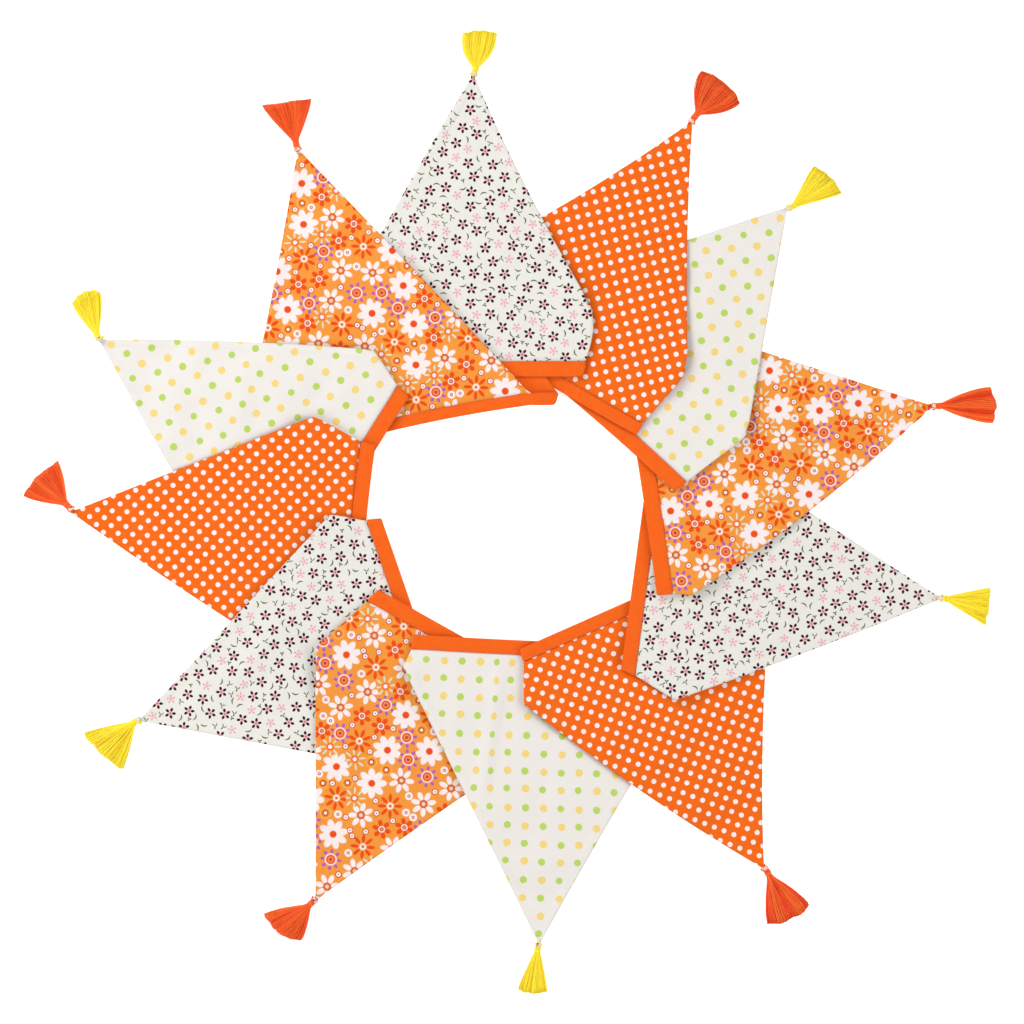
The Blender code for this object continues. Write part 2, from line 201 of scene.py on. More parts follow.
LIGHTS = {                   # place, size and power of each soft box
    "upper_left_box": ((-1.2, 1.4, 1.15), 1.0, 34.0),
    "lower_left_box": ((-1.5, -1.2, 1.25), 1.2, 26.0),
    "right_box": ((2.0, -0.3, 1.3), 1.3, 34.0),
}
for name, (spot, size, power) in LIGHTS.items():
    bpy.ops.object.light_add(type="AREA", location=spot)
    lamp = bpy.context.active_object
    lamp.name = name
    lamp.data.size = size
    lamp.data.energy = power
    lamp.rotation_euler = Vector(spot).to_track_quat("Z", "Y").to_euler()

world = bpy.data.worlds.new("studio")
world.use_nodes = True
sky = world.node_tree.nodes["Background"].inputs
sky["Color"].default_value = (1.0, 1.0, 1.0, 1.0)
sky["Strength"].default_value = 0.5
bpy.context.scene.world = world
bpy.context.scene.view_settings.view_transform = "Standard"


# How the bunting lies. Each pennant lies over the next one clockwise with its clockwise corner
# folded under, and the layers climb like a spiral stair. Sizes are the solids' own.
SOLID_CLOTH = 1.0 * MM       # thickness of the solids' cloth
SEAM_GAP = 0.5 * MM
TIP_WIDTH = 3.2 * MM
TAIL_HIDDEN = 30.0 * MM
TAIL_FOLDED = 44.0 * MM
JOIN_UNDER = 5               # the solids' two strips of binding meet under this pennant, from 0
LAYER_STEP = 2.95 * MM
OUTER_STEP = 1.56 * MM
STEP_ENDS = 265.0            # distances from the ring's middle, in pixels
OUTER_ENDS = 340.0
FLAT_FROM = 385.0
LOWEST_TURN = 2.3
STAIR_BREAK = 6.4
FOLD_INSET = LAYER_STEP / 4 + SOLID_CLOTH / 2
RING_MIDDLE = Vector((507.0, 517.0))
KNOT_LENGTH = 6.4 * MM

# Clockwise from the top one, in pixels: the tip, the hidden corner, where the clockwise fold meets
# the binding and where it meets the pennant's side, how far the sides and the binding's edge bow,
# the binding's width there, how much of the edge is folded under, and the cotton.
Pennant = namedtuple("Pennant", "tip corner fold shoulder side back base tape tucked cloth")
PENNANTS = [Pennant(*row) for row in (
    ((473, 79), (314, 361), (586, 361), (592, 305), -4, 3, 0, 15.0, 38, "sprig"),
    ((690, 125), (413, 285), (643, 424), (689, 370), -3, -7, -2, 12.5, 50, "spot"),
    ((786, 210), (490, 315), (687, 482), (748, 434), 0, 3, 4, 15.0, 52, "dot"),
    ((929, 407), (628, 309), (673, 594), (694, 595), 6, 0, 2, 15.5, 20, "daisy"),
    ((938, 598), (670, 416), (635, 676), (677, 700), 2, -2, 0, 14.0, 47, "sprig"),
    ((761, 864), (775, 551), (523, 662), (525, 706), 5, -6, 0, 12.5, 34, "spot"),
    ((539, 941), (705, 661), (411, 649), (403, 669), 0, -2, 2, 14.2, 16, "dot"),
    ((317, 897), (577, 719), (367, 601), (315, 649), 0, -2, 0, 15.0, 62, "daisy"),
    ((143, 719), (455, 779), (366, 520), (329, 515), 0, 0, 0, 14.5, 38, "sprig"),
    ((78, 515), (344, 691), (361, 441), (312, 416), 0, 3, 5, 14.3, 58, "spot"),
    ((102, 341), (257, 613), (398, 385), (372, 349), 3, 2, 1, 15.0, 42, "dot"),
    ((299, 153), (236, 464), (529, 393), (529, 393), 1, -3, 8, 11.5, 0, "daisy"),
)]
END_TAPE = 12.3
END_FOLD = (557, 392.5)
END_LEAN = math.radians(-17.0)

# Each tassel's knot, the left and the right corner of its spread end, and how far that end
# bulges; then the share of it that stays narrow, and how early the rest spreads
Tassel = namedtuple("Tassel", "knot left right bulge narrow early")
TASSELS = [Tassel(*row) for row in (
    ((475, 73), (463, 33), (497, 33), 3, 0.14, 2.7),
    ((692, 120), (702, 70), (741, 102), 5, 0.20, 1.8),
    ((791, 208), (814, 166), (842, 193), 4, 0.08, 1.05),
    ((935, 406), (990, 387), (993, 423), 5, 0.10, 1.6),
    ((943, 598), (991, 588), (986, 625), 1, 0.08, 1.05),
    ((766, 869), (810, 906), (768, 925), 5, 0.16, 1.3),
    ((538, 946), (547, 992), (518, 990), 3, 0.10, 1.15),
    ((314, 901), (300, 941), (264, 914), 7, 0.18, 1.3),
    ((137, 720), (122, 770), (83, 734), 3, 0.10, 1.1),
    ((70, 508), (23, 495), (58, 461), 4, 0.16, 1.3),
    ((98, 338), (72, 303), (100, 291), 6, 0.12, 1.4),
    ((297, 148), (262, 105), (311, 98), 0, 0.16, 1.2),
)]
UP = Vector((0.0, 0.0, 1.0))


def eased(value, start, end):
    """0 before start, 1 after end, and a smooth rise between them."""
    share = min(max((value - start) / (end - start), 0.0), 1.0)
    return share * share * (3.0 - 2.0 * share)


def layer_step(distance):
    """Rise from one pennant to the next, at a distance in pixels from the ring's middle."""
    step = LAYER_STEP + (OUTER_STEP - LAYER_STEP) * eased(distance, STEP_ENDS, OUTER_ENDS)
    return step * (1.0 - eased(distance, OUTER_ENDS, FLAT_FROM))


def from_middle(point):
    """How far a plan point lies from the ring's middle, in pixels."""
    return (point - place(RING_MIDDLE)).length / PHOTO_SCALE


def underside(point, index, folded_under=0.0):
    """Height of a pennant's underside. What is folded under lies half a step lower."""
    offset = point - place(RING_MIDDLE)
    places = len(PENNANTS)
    turn = math.atan2(offset.x, offset.y) / math.tau * places
    passed = (turn - index + STAIR_BREAK) % places - STAIR_BREAK
    return layer_step(from_middle(point)) * (passed + LOWEST_TURN - 0.5 * folded_under)


def beside(direction):
    """Unit vector to the left of a plan direction, seen from above."""
    return Vector((-direction.y, direction.x)).normalized()


def bowed(start, end, bow, steps):
    """Points from start to end on a flat arc that bows to its left."""
    run = end - start
    shares = [step / steps for step in range(steps + 1)]
    return [start + run * share + beside(run) * bow * 4.0 * share * (1.0 - share) for share in shares]


def knot_direction(index):
    return (place(TASSELS[index].knot) - place(PENNANTS[index].tip)).normalized()


def new_piece(name, corners, faces, coating):
    """A new smooth object from corners and faces, with its material and its finish's slot."""
    mesh = bpy.data.meshes.new(name)
    mesh.from_pydata([tuple(corner) for corner in corners], [], faces)
    mesh.materials.append(coating)
    mesh.shade_smooth()
    made = bpy.data.objects.new(name, mesh)
    bpy.context.scene.collection.objects.link(made)
    return made


def woven(rows, columns):
    """The faces of a net of points that were laid row by row."""
    return [(first, first + 1, first + columns + 1, first + columns)
            for n in range(rows - 1) for first in range(n * columns, n * columns + columns - 1)]


def lay_print(piece, prints):
    """Notes on a piece where its print lies, from a place for each point."""
    cut = piece.data.uv_layers.new(name="cut")
    for loop in piece.data.loops:
        cut.data[loop.index].uv = prints[loop.vertex_index]


def applied(piece, kind, **settings):
    """Puts a modifier on a piece and applies it."""
    bpy.ops.object.select_all(action="DESELECT")
    bpy.context.view_layer.objects.active = piece
    piece.select_set(True)
    modifier = piece.modifiers.new(kind.lower(), kind)
    for name, value in settings.items():
        setattr(modifier, name, value)
    bpy.ops.object.modifier_apply(modifier=modifier.name)


# The four printed cottons. They are plain-woven quilting cotton, printed before they are cut, so
# the print lies in the cut piece's own millimetres and goes round its folds with it.
THREAD = 0.42                # millimetres from thread to thread
Strewn = namedtuple("Strewn", "kind radius count lean gap")
Motif = namedtuple("Motif", "petals reach length width bend halo rim eye heart inks")
# The petals' count, how far out they lie, half their length and width, and how far the whole
# motif bends; then the radii of the discs that are printed over them. Sizes are shares of the
# motif's own radius. The inks are those of the petals, the halo, the rim, the eye and the heart.
NO_PETALS = (1, 0.5, 0.5, 0.002, 0.0)


def motif_table(motifs):
    """The columns of a table of motifs, each as a list of three numbers a row."""
    shapes = [(m.petals / 10.0, m.reach, m.length) for m in motifs]
    details = [(m.width, m.halo, m.rim) for m in motifs]
    discs = [(m.eye, m.heart, m.bend) for m in motifs]
    inks = [[dyed(m.inks[n]) for m in motifs] for n in range(5)]
    return shapes, details, discs, inks


def strewn(tile, wanted, seed):
    """Strews motifs over a repeat that runs on past its edges, the large ones first."""
    draw = random.Random(seed)
    placed = []

    def apart(x, y, other):
        dx = (x - other[0] + tile / 2) % tile - tile / 2
        dy = (y - other[1] + tile / 2) % tile - tile / 2
        return math.hypot(dx, dy)

    for row in map(Strewn._make, wanted):
        for _ in range(row.count):
            best, widest = None, -tile
            for _ in range(260):
                x, y = draw.uniform(0.0, tile), draw.uniform(0.0, tile)
                room = min((apart(x, y, other) - row.radius - other[2] for other in placed), default=tile)
                if room > widest:
                    best, widest = (x, y), room
                if widest > row.gap:
                    break
            placed.append((*best, row.radius, row.kind, draw.uniform(-row.lean, row.lean)))
    return placed


def cotton(name, ground, tile, placed, motifs):
    """A printed cotton: finds the nearest motif of its repeat, and draws that one."""
    made, shader, tree = finish(name, 0.85, sheen=0.03, specular=0.2)
    cut = Dye(tree, tree.nodes.new("ShaderNodeUVMap").outputs["UV"])
    cut = cut.vector("MULTIPLY", (1000.0, 1000.0, 0.0))
    half = (tile / 2, tile / 2, 1.0)
    nearest = chosen = None
    for x, y, radius, kind, lean in placed:
        offset = cut.vector("SUBTRACT", (x, y, 0.0)).vector("WRAP", half, tuple(-h for h in half))
        if lean:
            offset = offset.node("ShaderNodeVectorRotate", {"rotation_type": "Z_AXIS"},
                                 {"Vector": offset, "Angle": lean})
        scaled = offset.vector("MULTIPLY", (1.0 / radius, 1.0 / radius, 0.0))
        far = scaled.vector("LENGTH", output=1)
        candidate = scaled.vector("ADD", (0.0, 0.0, (kind + 0.5) / len(motifs)))
        if nearest is None:
            nearest, chosen = far, candidate
        else:
            chosen = far.math("LESS_THAN", nearest).vectors(chosen, candidate)
            nearest = nearest.math("MINIMUM", far)

    x, y, kind = chosen.parts()
    shapes, details, discs, inks = motif_table(motifs)
    petals, reach, length = lookup(kind, shapes).parts()
    width, halo, rim = lookup(kind, details).parts()
    eye, heart, bend = lookup(kind, discs).parts()
    count = (petals * 10.0).math("ROUND")
    bent_y = y + bend * (x * x - 0.3)
    far = (x * x + bent_y * bent_y).math("SQRT")
    sector = (bent_y.math("ARCTAN2", x) * count / math.tau).math("FRACT") - 0.5
    fold = sector * math.tau / count
    along = (far * fold.math("COSINE") - reach) / length
    aside = far * fold.math("SINE") / width
    petal = (along * along + aside * aside).math("SQRT").within(1.0, 0.22)

    u, v, _ = cut.parts()
    threads = (u * (math.tau / THREAD)).math("SINE") * (v * (math.tau / THREAD)).math("SINE")
    slubs, shade = cut.noise(0.9, 3.0), cut.noise(0.03)
    tone = 0.955 + threads * 0.02 + slubs * 0.035 + shade * 0.025

    colour = petal.colours(dyed(ground), lookup(kind, inks[0]))
    for radius, ink in zip((halo, rim, eye, heart), inks[1:]):
        mask = nearest.within(radius, 0.07) * radius.math("GREATER_THAN", 0.01)
        colour = mask.colours(colour, lookup(kind, ink))
    tone = tone.node("ShaderNodeCombineXYZ", {}, {"X": tone, "Y": tone, "Z": tone})
    colour_in(shader, colour.vector("MULTIPLY", tone))
    relief(shader, threads * 0.35 + slubs * 0.65, 0.16 * MM, 0.5)
    return made


WHITE, RED, PLUM, ROSE, OLIVE = "#fdf0ee", "#f2541a", "#431428", "#f0b4be", "#666f3c"
sprigs = [
    Motif(5, 0.62, 0.34, 0.23, 0.0, 0.0, 0.0, 0.34, 0.14, (PLUM, PLUM, PLUM, "#f0b4c0", "#c9546e")),
    Motif(5, 0.60, 0.32, 0.20, 0.0, 0.0, 0.0, 0.28, 0.14, (ROSE, ROSE, ROSE, "#f6d3d6", "#d88496")),
    Motif(1, 0.00, 0.95, 0.19, 0.45, 0.0, 0.0, 0.0, 0.0, (OLIVE,) * 5),
    Motif(3, 0.50, 0.46, 0.18, 0.7, 0.0, 0.0, 0.0, 0.0, (OLIVE,) * 5),
    Motif(3, 0.46, 0.44, 0.27, 0.2, 0.0, 0.0, 0.0, 0.0, (OLIVE,) * 5),
]
SPRIG_TILE = 64.0
sprig_places = strewn(SPRIG_TILE, [
    (0, 3.9, 26, 0.6, 1.6), (1, 3.4, 10, 0.6, 1.2), (2, 2.5, 18, 3.1, -1.0),
    (3, 2.3, 12, 3.1, -0.6), (4, 1.7, 9, 3.1, -0.4)], seed=5)

SPOT_PITCH = 6.9
spots = [Motif(*NO_PETALS, 1.0, 0.0, 0.0, 0.0, (WHITE,) * 5)]
spot_places = [(0.0, 0.0, 1.66, 0, 0.0)]

# The dots are printed a little out of line.
DOT_PITCH = 11.9
DOT_STEPS = 4
LEMON, LIME = "#fadb84", "#c1db69"
dots = [
    Motif(*NO_PETALS, 1.0, 0.0, 0.0, 0.0, (LEMON,) * 5),
    Motif(*NO_PETALS, 0.93, 0.0, 0.0, 0.0, (LIME,) * 5),
]
shaken = random.Random(3)
dot_places = [(DOT_PITCH * column + shaken.uniform(-0.5, 0.5),
               DOT_PITCH * row + shaken.uniform(-0.5, 0.5),
               2.5 * shaken.uniform(0.95, 1.05), (column + row) % 2, 0.0)
              for column in range(DOT_STEPS) for row in range(DOT_STEPS)]

PALE, VIOLET, PEACH, BRICK = "#e3e3cf", "#b564c0", "#fcb45e", "#c8492c"
daisies = [
    Motif(8, 0.60, 0.42, 0.24, 0.0, 0.0, 0.46, 0.24, 0.0, (WHITE, WHITE, WHITE, RED, RED)),
    Motif(7, 0.64, 0.36, 0.20, 0.0, 0.0, 0.32, 0.25, 0.13, (WHITE, WHITE, BRICK, "#f27a3a", PALE)),
    Motif(8, 0.66, 0.34, 0.14, 0.0, 0.0, 0.27, 0.13, 0.0, (RED, RED, WHITE, "#e8743c", WHITE)),
    Motif(6, 0.66, 0.33, 0.24, 0.0, 0.44, 0.34, 0.22, 0.12, (RED, RED, WHITE, BRICK, "#f2a060")),
    Motif(8, 0.80, 0.20, 0.15, 0.0, 0.56, 0.45, 0.30, 0.14, (VIOLET, WHITE, RED, "#f2905e", BRICK)),
    Motif(8, 0.70, 0.30, 0.085, 0.0, 0.0, 0.30, 0.19, 0.0, (PALE, PALE, RED, WHITE, WHITE)),
    Motif(*NO_PETALS, 1.0, 0.40, 0.18, 0.0, (WHITE, WHITE, BRICK, WHITE, WHITE)),
    Motif(*NO_PETALS, 1.0, 0.76, 0.50, 0.28, (PEACH, PEACH, "#f9922a", BRICK, WHITE)),
    Motif(*NO_PETALS, 1.0, 0.74, 0.24, 0.0, (BRICK, BRICK, WHITE, RED, WHITE)),
]
DAISY_TILE = 84.0
daisy_places = strewn(DAISY_TILE, [
    (0, 9.8, 5, 3.1, 1.5), (1, 8.4, 5, 3.1, 0.6), (2, 8.2, 4, 3.1, -0.4),
    (3, 6.4, 5, 3.1, -0.2), (4, 7.0, 5, 3.1, -0.6), (5, 7.4, 4, 3.1, -1.2),
    (7, 3.9, 5, 0.0, -0.8), (6, 2.6, 6, 0.0, -0.4), (8, 2.1, 16, 0.0, -0.4)], seed=19)

COTTONS = {
    "sprig": cotton("sprig cotton", "#eeece4", SPRIG_TILE, sprig_places, sprigs),
    "spot": cotton("spot cotton", "#fa6f12", SPOT_PITCH, spot_places, spots),
    "dot": cotton("dot cotton", "#f2ede7", DOT_STEPS * DOT_PITCH, dot_places, dots),
    "daisy": cotton("daisy cotton", "#f99d44", DAISY_TILE, daisy_places, daisies),
}


# The twelve pennants: triangles of the printed cottons, their two sides turned in and hemmed, the
# third side sewn into the binding. The clockwise corner of each is folded under as it lies.
CLOTH = 0.42 * MM            # one layer of the cotton
HEM_EXTRA = 0.34 * MM        # what the turned-in layers add
HEM_WIDTH = 6.0 * MM
HEM_STEP = 0.7 * MM
ROWS_TO_SHOULDER = 12
ROWS_TO_TIP = 56
INNER_COLUMNS = 38
BEND_STEPS = 8
FLAP_STEPS = 6
TWIST_ROWS = 7
WAVES = 6
WAVE_HEIGHT = 0.15 * MM
SLOT_REACH = 1.6 * MM        # how far the cloth runs into the binding
SPRING = 1.7 * MM            # how far a folded corner springs up
SPRING_REACH = 34 * PHOTO_SCALE
# Where the print starts on each pennant, in millimetres
PRINT_STARTS = [(0.0, 0.0), (3.5, 1.0), (2.0, 6.0), (11.0, 40.0), (23.0, 15.0), (1.0, 2.0),
                (5.0, 6.0), (61.0, 9.0), (47.0, 38.0), (2.5, 3.0), (7.0, 3.0), (30.0, 72.0)]
# How far the outline is rounded where each fold meets the pennant's side, in pixels, and how far
# the first pennant's fold bows outwards
FIRST_FOLD_BOW = 3.5
ROUNDINGS = (24, 26, 13, 6, 7, 5, 9, 5, 8, 10, 8, 0)
PRINT_TURNS = {"sprig": 0.0, "spot": math.radians(45.0), "dot": 0.0, "daisy": math.radians(20.0)}


# Main creases: the pennant's number, both ends and the half width in pixels, then how high the
# crease stands and how much cloth it takes up, in millimetres. Troughs are below zero.
Crease = namedtuple("Crease", "pennant start end half height gather")
CREASES = [Crease(*row) for row in (
    (1, (560, 215), (574, 345), 9, 0.35, 0.4),
    (1, (430, 250), (470, 350), 12, -0.3, 0.2),
    (2, (652, 320), (664, 400), 9, 0.5, 0.6),
    (2, (560, 240), (600, 380), 12, -0.3, 0.2),
    (3, (694, 336), (752, 348), 8, -0.6, 0.4),
    (3, (646, 436), (716, 456), 6, -0.6, 0.6),
    (3, (722, 262), (706, 330), 9, 0.4, 0.3),
    (4, (770, 420), (850, 470), 10, -0.35, 0.3),
    (4, (690, 500), (720, 560), 9, 0.4, 0.4),
    (5, (670, 600), (760, 625), 9, -0.35, 0.3),
    (5, (700, 650), (820, 625), 10, 0.35, 0.3),
    (6, (560, 650), (640, 740), 11, 0.4, 0.4),
    (7, (505, 640), (482, 792), 6, 1.9, 3.2),
    (7, (448, 660), (462, 780), 7, 0.4, 0.5),
    (7, (560, 700), (536, 830), 9, -0.4, 0.4),
    (8, (408, 690), (438, 775), 11, -0.6, 0.5),
    (8, (345, 660), (352, 780), 9, 0.4, 0.4),
    (9, (296, 602), (318, 680), 10, -0.6, 0.5),
    (9, (330, 545), (230, 690), 9, 0.4, 0.4),
    (10, (330, 440), (240, 560), 12, 0.35, 0.3),
    (11, (250, 345), (238, 440), 9, 0.6, 1.3),
    (11, (330, 365), (318, 410), 9, -0.4, 0.4),
    (12, (330, 230), (420, 360), 12, 0.4, 0.4),
)]


def resting(point, index, folded_under=0.0):
    """Height of the thin cloth's middle: as the solid's, but down on the table at the outside."""
    low = underside(point, index, folded_under)
    return low + SOLID_CLOTH / 2 - (1.0 - eased(low, 0.0, MM)) * (SOLID_CLOTH - CLOTH - HEM_EXTRA) / 2


def unevenness(index):
    """A few long, low waves, as cotton keeps them after ironing, different on each pennant."""
    draw = random.Random(100 + index)
    waves = []
    for _ in range(WAVES):
        angle, length = draw.uniform(0.0, math.tau), draw.uniform(19.0, 62.0) * MM
        waves.append((math.cos(angle) * math.tau / length, math.sin(angle) * math.tau / length,
                      draw.uniform(0.0, math.tau)))
    return lambda point: WAVE_HEIGHT * sum(math.sin(point.x * a + point.y * b + c) for a, b, c in waves)


def creases_at(point, index):
    """How high a pennant's creases stand at a point, and how far they draw the print aside."""
    height, drawn = 0.0, Vector((0.0, 0.0))
    for crease in CREASES:
        if crease.pennant == index + 1:
            start = place(crease.start)
            run = place(crease.end) - start
            part = (point - start).dot(run) / run.length_squared
            fade = eased(part, -0.25, 0.15) * (1.0 - eased(part, 0.8, 1.25))
            across = (point - start).dot(beside(run)) / (crease.half * PHOTO_SCALE)
            height += crease.height * MM * math.exp(-across ** 2) * fade
            drawn += beside(run) * crease.gather * MM * 0.5 * math.tanh(across) * fade
    return height, drawn


def rounded(line, corner, radius):
    """Rounds a line's corner: the points near it move on to a curve that both sides run into."""
    middle = line[corner]
    near = [n for n, point in enumerate(line) if (point - middle).length < radius]
    first, final = min(near[0], corner - 1), max(near[-1], corner + 1)
    before, after = line[first] - middle, line[final] - middle
    made = list(line)
    for n in range(first, final + 1):
        if n <= corner:
            share = 0.5 - 0.5 * (line[n] - middle).length / before.length
        else:
            share = 0.5 + 0.5 * (line[n] - middle).length / after.length
        made[n] = middle + before * (1.0 - share) ** 2 + after * share ** 2
    return made


def pennant_cloth(index):
    """Points, faces and print places of one pennant's cloth, as one surface without thickness."""
    row = PENNANTS[index]
    outward = knot_direction(index)
    tip = place(TASSELS[index].knot) - outward * (KNOT_LENGTH / 2 + SEAM_GAP)
    back_tip, side_tip = (tip + beside(outward) * TIP_WIDTH / 2 * side for side in (1, -1))
    corner, fold, shoulder = place(row.corner), place(row.fold), place(row.shoulder)
    folded = shoulder != fold
    fold_rows = ROWS_TO_SHOULDER if folded else 0
    along, out = (fold - corner).normalized(), beside(fold - corner)
    share = (shoulder - fold).dot(out) / (side_tip - fold).dot(out)
    shares = [share * n / max(fold_rows, 1) for n in range(fold_rows)]
    shares += [share + (1.0 - share) * n / ROWS_TO_TIP for n in range(ROWS_TO_TIP + 1)]
    fold_bow = FIRST_FOLD_BOW if index == 0 else 0.0
    crease = bowed(fold, shoulder, -fold_bow * PHOTO_SCALE, max(fold_rows, 1))
    away = beside(fold - shoulder) if folded else None
    if folded:
        crease = [point - away * FOLD_INSET for point in crease]
    free_side = bowed(crease[-1], side_tip, -row.side * PHOTO_SCALE, ROWS_TO_TIP)
    right_side = free_side
    if folded:
        right_side = rounded(crease[:-1] + free_side, fold_rows, ROUNDINGS[index] * PHOTO_SCALE)
    uneven = unevenness(index)
    points, prints, hems = [], [], []

    def printed(point):
        """Where the print lies on the uncut cotton, for a plan point of the flat pennant."""
        offset = point - corner
        flat = Vector((offset.dot(along), offset.dot(out)))
        turn = PRINT_TURNS[row.cloth]
        start = PRINT_STARTS[index]
        return (flat.x * math.cos(turn) - flat.y * math.sin(turn) + start[0] * MM,
                flat.x * math.sin(turn) + flat.y * math.cos(turn) + start[1] * MM)

    for n, (share_up, right) in enumerate(zip(shares, right_side)):
        left = corner.lerp(back_tip, share_up)
        left += beside(back_tip - corner) * row.back * PHOTO_SCALE * 4.0 * share_up * (1.0 - share_up)
        width = (right - left).length
        hem = min(HEM_WIDTH, 0.3 * width)
        step = min(HEM_STEP, 0.25 * hem)
        edge = [0.0, 0.25 * hem, 0.6 * hem, hem - step, hem]
        inner = [hem + (width - 2 * hem) * k / INNER_COLUMNS for k in range(1, INNER_COLUMNS)]
        spots_across = edge + inner + [width - e for e in reversed(edge)]
        base = row.base * PHOTO_SCALE * (1.0 - share_up) ** 2
        for k, spot in enumerate(spots_across):
            part = spot / width
            point = left.lerp(right, part) + out * base * 4.0 * part * (1.0 - part)
            sewn = eased((point - corner).dot(out) / MM, 1.0, 16.0)
            by_tip = 1.0 - eased(share_up, 0.86, 1.0)
            at_side = (width - spot) / MM
            by_fold = eased(at_side, 1.0, 14.0) if folded and n <= fold_rows else 1.0
            raised_by, drawn = creases_at(point, index)
            height = resting(point, index) + (uneven(point) + raised_by) * sewn * by_tip * by_fold
            past = eased((n - fold_rows) / ROWS_TO_TIP, 0.0, 0.22) if folded else 1.0
            sinking = max(layer_step(from_middle(point)) - 1.3 * MM, 0.0) * sewn
            height -= 0.3 * sinking * past * (1.0 - eased(at_side, 0.0, 26.0))
            if folded:
                sprung = math.exp(-((right - shoulder).length / SPRING_REACH) ** 2)
                sprung *= eased((right - fold).length / MM, 3.0, 14.0)
                height += SPRING * sprung * math.exp(-(at_side / 15.0) ** 2)
            turned_in = k <= 3 or (k >= len(spots_across) - 4 and n >= fold_rows)
            height = max(height, (CLOTH + HEM_EXTRA * turned_in) / 2)
            if n == 0:
                reach = SLOT_REACH * (0.3 + 0.7 * eased(at_side, 1.0, 9.0)) if folded else SLOT_REACH
                point = point - out * reach
            points.append(Vector((point.x, point.y, height)))
            prints.append(printed(point + drawn))
            hems.append(1.0 if turned_in else 0.0)
    wide = len(spots_across)
    faces = woven(len(right_side), wide)

    if folded:
        following = PENNANTS[(index + 1) % len(PENNANTS)]
        tucked = (place(following.corner) - fold).normalized() * row.tucked * PHOTO_SCALE
        end = crease[0] + tucked
        strips = []
        for n, point in enumerate(right_side[:len(crease)]):
            strip = [n * wide + wide - 1]
            upper, lower = points[strip[0]].z, resting(point, index, 1.0)
            radius = (upper - lower) / 2
            for step in range(1, BEND_STEPS + 1):
                angle = math.pi * step / BEND_STEPS
                plan = point + away * math.sin(angle) * radius
                strip.append(len(points))
                points.append(Vector((plan.x, plan.y, (upper + lower) / 2 + math.cos(angle) * radius)))
                prints.append(printed(point + away * radius * angle))
                hems.append(0.0)
            for step in range(1, FLAP_STEPS + 1):
                part = step / (FLAP_STEPS + 1)
                plan = point.lerp(end, part)
                beyond = (point - plan).dot(away)
                strip.append(len(points))
                points.append(Vector((plan.x, plan.y, resting(plan, index, 1.0))))
                prints.append(printed(plan + away * (2 * beyond + radius * math.pi)))
                hems.append(1.0 if n > len(crease) - 3 else 0.0)
            strips.append(strip)
        last = len(points)
        points.append(Vector((end.x, end.y, resting(end, index, 1.0))))
        prints.append(printed(end + away * 2 * (crease[0] - end).dot(away)))
        hems.append(0.0)
        for lower, upper in zip(strips, strips[1:]):
            for a, b, c, d in zip(lower, lower[1:], upper[1:], upper):
                faces.append((a, b, c, d))
            faces.append((lower[-1], last, upper[-1]))

    # The tip is gathered into a twist, which the tassel's loop is tied round.
    previous = [(len(right_side) - 1) * wide + k for k in range(wide)]
    for n in range(1, TWIST_ROWS + 1):
        part = n / TWIST_ROWS
        centre = tip + outward * (KNOT_LENGTH * 0.9 * part)
        curl = math.radians(165.0) * eased(part, 0.0, 0.6)
        half = TIP_WIDTH / 2 * (1.0 - 0.3 * part)
        current = []
        for k in range(wide):
            side = 1.0 - 2.0 * k / (wide - 1)
            radius = half / max(curl, 0.05)
            angle = side * curl + 1.1 * part
            rolled = Vector((math.sin(angle), math.cos(angle))) * radius
            lift = resting(tip, index) + 2.1 * MM * eased(part, 0.0, 1.0)
            plan = centre + beside(outward) * rolled.x
            current.append(len(points))
            points.append(Vector((plan.x, plan.y, lift + radius - rolled.y)))
            prints.append(printed(centre + beside(outward) * half * side))
            hems.append(0.0)
        for k in range(wide - 1):
            faces.append((previous[k], previous[k + 1], current[k + 1], current[k]))
        previous = current
    return points, faces, prints, hems


for index, row in enumerate(PENNANTS):
    points, faces, prints, hems = pennant_cloth(index)
    node = f"pennant_{index + 1:02d}"
    piece = new_piece(f"cotton_{node}", points, faces, COTTONS[row.cloth])
    lay_print(piece, prints)
    hem = piece.vertex_groups.new(name="hem")
    for weight in (0.0, 1.0):
        hem.add([n for n, value in enumerate(hems) if value == weight], weight, "REPLACE")
    applied(piece, "SOLIDIFY", thickness=CLOTH + HEM_EXTRA, offset=0.0, vertex_group="hem",
            thickness_vertex_group=CLOTH / (CLOTH + HEM_EXTRA))
    below = f"pennant_{(index + 1) % len(PENNANTS) + 1:02d}"
    strip = "binding_01" if index <= JOIN_UNDER else "binding_02"
    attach(piece, "root")
    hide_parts(node)


# The binding: one long orange bias tape, folded lengthwise over the pennants' edges and sewn down.
# It runs along each pennant, turns under it at the fold and goes on to the next one.
TAPE_STEPS = 26
UNDER_STEPS = 12
LEAF = 0.36 * MM             # thickness of one leaf, two layers of cotton
LEAF_HEIGHT = 0.40 * MM      # from the tape's middle to the middle of a leaf
MOUTH = -0.1 * MM            # the leaves' edges, from the solid tape's edge; below 0 is over the cloth
SEAM = 1.1 * MM              # from the leaves' edges to the stitching
TAIL_OPENS = (9.0, 4.0)      # how far the loose end beneath has unfolded to each side, in pixels
tape_finish, shader, tree = finish("bias tape", 0.82, sheen=0.03, specular=0.2)
lay = Dye(tree, tree.nodes.new("ShaderNodeUVMap").outputs["UV"]).vector("MULTIPLY", (1000.0, 1000.0, 0.0))
across, run, _ = lay.parts()
